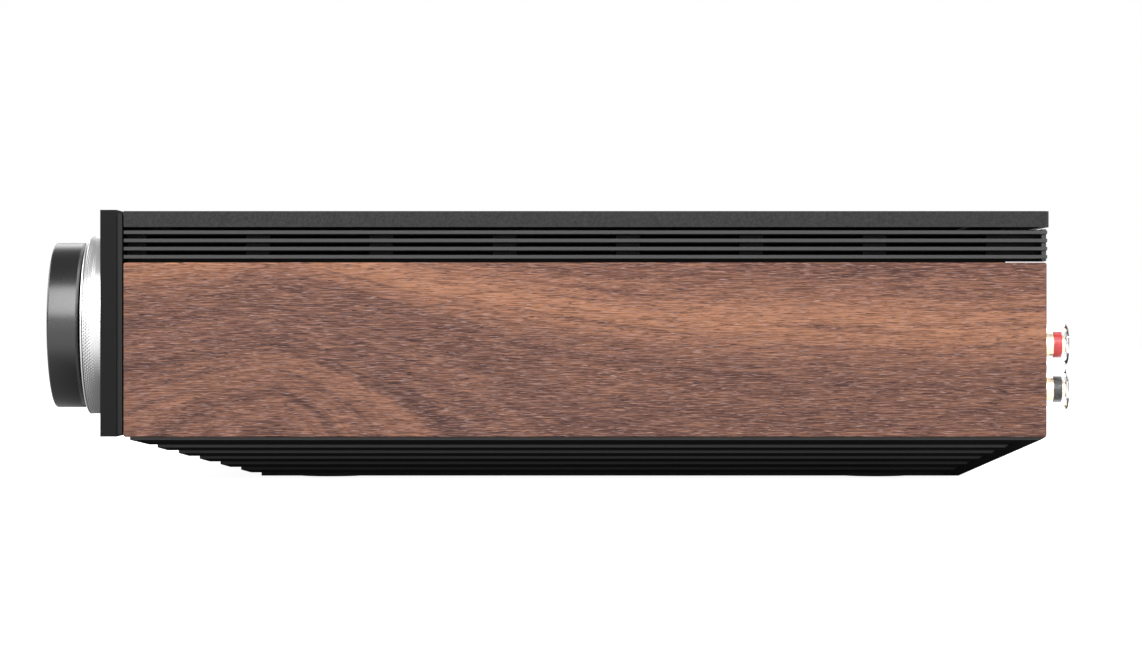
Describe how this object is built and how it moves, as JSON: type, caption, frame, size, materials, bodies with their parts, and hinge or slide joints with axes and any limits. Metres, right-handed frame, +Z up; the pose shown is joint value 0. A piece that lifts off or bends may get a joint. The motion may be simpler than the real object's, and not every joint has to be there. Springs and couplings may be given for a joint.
{
  "type": "integrated amplifier",
  "caption": "Compact stereo amplifier with wooden cheeks, ribbed side vents, stepped base, large knurled knob, display and rear sockets.",
  "frame": {"origin": "middle of the bottom of the bounding box, on the surface that the feet stand on", "axes": "+X to the object's right seen from the front, +Y from the front to the rear, +Z up"},
  "size_m": [0.317, 0.3514, 0.092],
  "materials": {
    "walnut": "satin",
    "casing_black": "matt",
    "fascia_black": "matt",
    "base_black": "matt",
    "steel_sheet": "satin",
    "steel_parts": "satin",
    "dark_anodised": "satin",
    "knurled_silver": "satin",
    "heatsink_black": "satin",
    "rubber": "matt",
    "display_glass": "gloss",
    "black_plastic": "satin",
    "circuit_board": "satin",
    "copper_winding": "satin",
    "gold_plate": "polished",
    "post_metal": "polished",
    "clear_plastic": "gloss"
  },
  "bodies": {
    "root": {"base_plinth": "base_black", "foot_1": "rubber", "foot_2": "rubber", "foot_3": "rubber", "foot_4": "rubber", "chassis_floor": "steel_sheet", "chassis_wall_left": "casing_black", "chassis_wall_right": "casing_black", "rear_panel": "casing_black", "sub_fascia": "casing_black", "fascia": "fascia_black", "wood_cheek_left": "walnut", "wood_cheek_right": "walnut", "vent_rail_left": "casing_black", "vent_rail_right": "casing_black", "top_cover": "casing_black", "display_glass": "display_glass", "display_module": "black_plastic", "front_board": "circuit_board", "volume_encoder": "steel_parts", "headphone_socket": "steel_parts", "mains_inlet": "black_plastic", "power_switch_frame": "black_plastic", "rca_block": "black_plastic", "lan_socket": "black_plastic", "usb_socket": "black_plastic", "hdmi_socket": "black_plastic", "optical_socket": "black_plastic", "power_transformer": "copper_winding", "transformer_washer": "steel_parts", "transformer_bolt": "steel_parts", "reservoir_capacitor_1": "black_plastic", "reservoir_capacitor_2": "black_plastic", "heatsink": "heatsink_black", "power_board": "circuit_board", "amplifier_board": "circuit_board", "input_board": "circuit_board", "digital_board": "circuit_board", "digital_shield": "steel_sheet", "post_base_left_negative": "post_metal", "post_base_left_positive": "post_metal", "post_base_right_negative": "post_metal", "post_base_right_positive": "post_metal"},
    "knob_ring": {"knob_ring": "knurled_silver"},
    "control_cap": {"control_cap": "dark_anodised"},
    "standby_button": {"standby_button": "dark_anodised"},
    "function_button_1": {"function_button_1": "dark_anodised"},
    "function_button_2": {"function_button_2": "dark_anodised"},
    "function_button_3": {"function_button_3": "dark_anodised"},
    "power_rocker": {"power_rocker": "black_plastic"},
    "post_insert_left_negative": {"post_insert_left_negative": "gold_plate"},
    "post_sleeve_left_negative": {"post_sleeve_left_negative": "clear_plastic"},
    "post_insert_left_positive": {"post_insert_left_positive": "gold_plate"},
    "post_sleeve_left_positive": {"post_sleeve_left_positive": "clear_plastic"},
    "post_insert_right_negative": {"post_insert_right_negative": "gold_plate"},
    "post_sleeve_right_negative": {"post_sleeve_right_negative": "clear_plastic"},
    "post_insert_right_positive": {"post_insert_right_positive": "gold_plate"},
    "post_sleeve_right_positive": {"post_sleeve_right_positive": "clear_plastic"}
  },
  "joints": [
    {"name": "volume_turn", "type": "hinge", "parent": "root", "child": "knob_ring", "pos_m": [0.106, -0.16, 0.0531], "axis": [0, 1, 0], "continuous": true},
    {"name": "cap_press", "type": "slide", "parent": "knob_ring", "child": "control_cap", "axis": [0, 1, 0], "range_m": [0, 0.0005], "stiffness_N_per_m": 1500, "springref_m": -0.0008},
    {"name": "standby_button_press", "type": "slide", "parent": "root", "child": "standby_button", "axis": [0, 1, 0], "range_m": [0, 0.0009], "stiffness_N_per_m": 800, "springref_m": -0.0005},
    {"name": "function_button_1_press", "type": "slide", "parent": "root", "child": "function_button_1", "axis": [0, 1, 0], "range_m": [0, 0.0009], "stiffness_N_per_m": 800, "springref_m": -0.0005},
    {"name": "function_button_2_press", "type": "slide", "parent": "root", "child": "function_button_2", "axis": [0, 1, 0], "range_m": [0, 0.0009], "stiffness_N_per_m": 800, "springref_m": -0.0005},
    {"name": "function_button_3_press", "type": "slide", "parent": "root", "child": "function_button_3", "axis": [0, 1, 0], "range_m": [0, 0.0009], "stiffness_N_per_m": 800, "springref_m": -0.0005},
    {"name": "power_rocker_tip", "type": "hinge", "parent": "root", "child": "power_rocker", "pos_m": [-0.06, 0.1495, 0.04], "axis": [1, 0, 0], "range_deg": [0, 20]},
    {"name": "post_travel_left_negative", "type": "slide", "parent": "root", "child": "post_insert_left_negative", "axis": [0, 1, 0], "range_m": [0, 0.005]},
    {"name": "post_turn_left_negative", "type": "hinge", "parent": "post_insert_left_negative", "child": "post_sleeve_left_negative", "pos_m": [-0.1305, 0.165, 0.031], "axis": [0, 1, 0], "range_deg": [0, 1800]},
    {"name": "post_travel_left_positive", "type": "slide", "parent": "root", "child": "post_insert_left_positive", "axis": [0, 1, 0], "range_m": [0, 0.005]},
    {"name": "post_turn_left_positive", "type": "hinge", "parent": "post_insert_left_positive", "child": "post_sleeve_left_positive", "pos_m": [-0.1305, 0.165, 0.0464], "axis": [0, 1, 0], "range_deg": [0, 1800]},
    {"name": "post_travel_right_negative", "type": "slide", "parent": "root", "child": "post_insert_right_negative", "axis": [0, 1, 0], "range_m": [0, 0.005]},
    {"name": "post_turn_right_negative", "type": "hinge", "parent": "post_insert_right_negative", "child": "post_sleeve_right_negative", "pos_m": [0.1305, 0.165, 0.031], "axis": [0, 1, 0], "range_deg": [0, 1800]},
    {"name": "post_travel_right_positive", "type": "slide", "parent": "root", "child": "post_insert_right_positive", "axis": [0, 1, 0], "range_m": [0, 0.005]},
    {"name": "post_turn_right_positive", "type": "hinge", "parent": "post_insert_right_positive", "child": "post_sleeve_right_positive", "pos_m": [0.1305, 0.165, 0.0464], "axis": [0, 1, 0], "range_deg": [0, 1800]}
  ],
  "couplings": [
    {"joint": "post_turn_left_negative", "follows": "post_travel_left_negative", "rad_per_m": 6283.2},
    {"joint": "post_turn_left_positive", "follows": "post_travel_left_positive", "rad_per_m": 6283.2},
    {"joint": "post_turn_right_negative", "follows": "post_travel_right_negative", "rad_per_m": 6283.2},
    {"joint": "post_turn_right_positive", "follows": "post_travel_right_positive", "rad_per_m": 6283.2}
  ]
}
